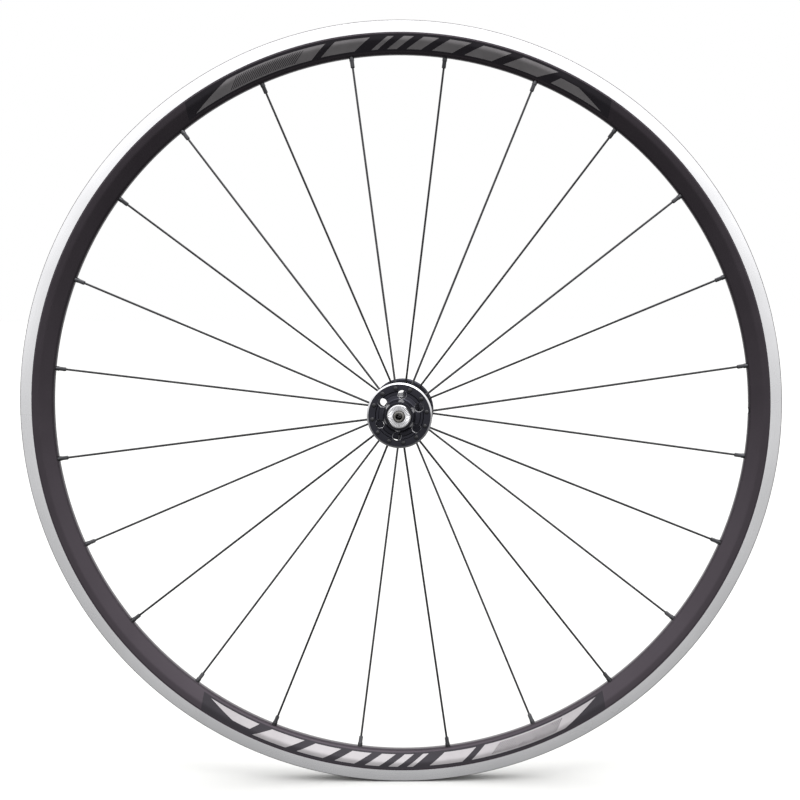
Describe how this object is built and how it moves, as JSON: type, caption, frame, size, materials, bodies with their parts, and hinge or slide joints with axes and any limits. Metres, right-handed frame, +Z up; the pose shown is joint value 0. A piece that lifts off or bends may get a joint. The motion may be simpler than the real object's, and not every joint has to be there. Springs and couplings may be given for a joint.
{
  "type": "bicycle front wheel",
  "caption": "Bare road bicycle front wheel with a black double-wall rim, machined brake tracks, radial spokes and a large-flange hub with a hollow quick-release axle.",
  "frame": {"origin": "centre of the wheel, on the axle's axis and midway between the locknut faces", "axes": "+Y along the axle towards the wheel's left side, +X forwards, +Z up; the valve hole is at +X"},
  "size_m": [0.634, 0.108, 0.634],
  "materials": {
    "rim_alloy": "black anodised, brake tracks machined bare",
    "sleeve_alloy": "plain extruded",
    "hub_alloy": "black anodised, flange edges polished",
    "axle_steel": "turned",
    "cone_steel": "ground",
    "locknut_steel": "zinc plated, serrated face",
    "bearing_steel": "polished",
    "dust_cap_steel": "black",
    "spoke_steel": "black oxide",
    "nipple_brass": "black plated"
  },
  "bodies": {
    "axle": {"axle": "axle_steel", "cone_right": "cone_steel", "cone_left": "cone_steel", "locknut_right": "locknut_steel", "locknut_left": "locknut_steel"},
    "wheel": {"rim": "rim_alloy", "rim_joint_sleeve": "sleeve_alloy", "hub_shell": "hub_alloy", "dust_cap_right": "dust_cap_steel", "dust_cap_left": "dust_cap_steel", "spoke_01": "spoke_steel", "spoke_02": "spoke_steel", "spoke_03": "spoke_steel", "spoke_04": "spoke_steel", "spoke_05": "spoke_steel", "spoke_06": "spoke_steel", "spoke_07": "spoke_steel", "spoke_08": "spoke_steel", "spoke_09": "spoke_steel", "spoke_10": "spoke_steel", "spoke_11": "spoke_steel", "spoke_12": "spoke_steel", "spoke_13": "spoke_steel", "spoke_14": "spoke_steel", "spoke_15": "spoke_steel", "spoke_16": "spoke_steel", "spoke_17": "spoke_steel", "spoke_18": "spoke_steel", "spoke_19": "spoke_steel", "spoke_20": "spoke_steel", "spoke_21": "spoke_steel", "spoke_22": "spoke_steel", "spoke_23": "spoke_steel", "spoke_24": "spoke_steel", "nipple_01": "nipple_brass", "nipple_02": "nipple_brass", "nipple_03": "nipple_brass", "nipple_04": "nipple_brass", "nipple_05": "nipple_brass", "nipple_06": "nipple_brass", "nipple_07": "nipple_brass", "nipple_08": "nipple_brass", "nipple_09": "nipple_brass", "nipple_10": "nipple_brass", "nipple_11": "nipple_brass", "nipple_12": "nipple_brass", "nipple_13": "nipple_brass", "nipple_14": "nipple_brass", "nipple_15": "nipple_brass", "nipple_16": "nipple_brass", "nipple_17": "nipple_brass", "nipple_18": "nipple_brass", "nipple_19": "nipple_brass", "nipple_20": "nipple_brass", "nipple_21": "nipple_brass", "nipple_22": "nipple_brass", "nipple_23": "nipple_brass", "nipple_24": "nipple_brass"},
    "cage_right": {"ball_cage_right": "bearing_steel"},
    "cage_left": {"ball_cage_left": "bearing_steel"}
  },
  "joints": [
    {"name": "wheel_spin", "type": "hinge", "parent": "axle", "child": "wheel", "pos_m": [0, 0, 0], "axis": [0, 1, 0], "continuous": true},
    {"name": "cage_right_spin", "type": "hinge", "parent": "axle", "child": "cage_right", "pos_m": [0, -0.0396, 0], "axis": [0, 1, 0], "continuous": true},
    {"name": "cage_left_spin", "type": "hinge", "parent": "axle", "child": "cage_left", "pos_m": [0, 0.0396, 0], "axis": [0, 1, 0], "continuous": true}
  ],
  "couplings": [
    {"joint": "cage_right_spin", "follows": "wheel_spin", "ratio": 0.605},
    {"joint": "cage_left_spin", "follows": "wheel_spin", "ratio": 0.605}
  ]
}
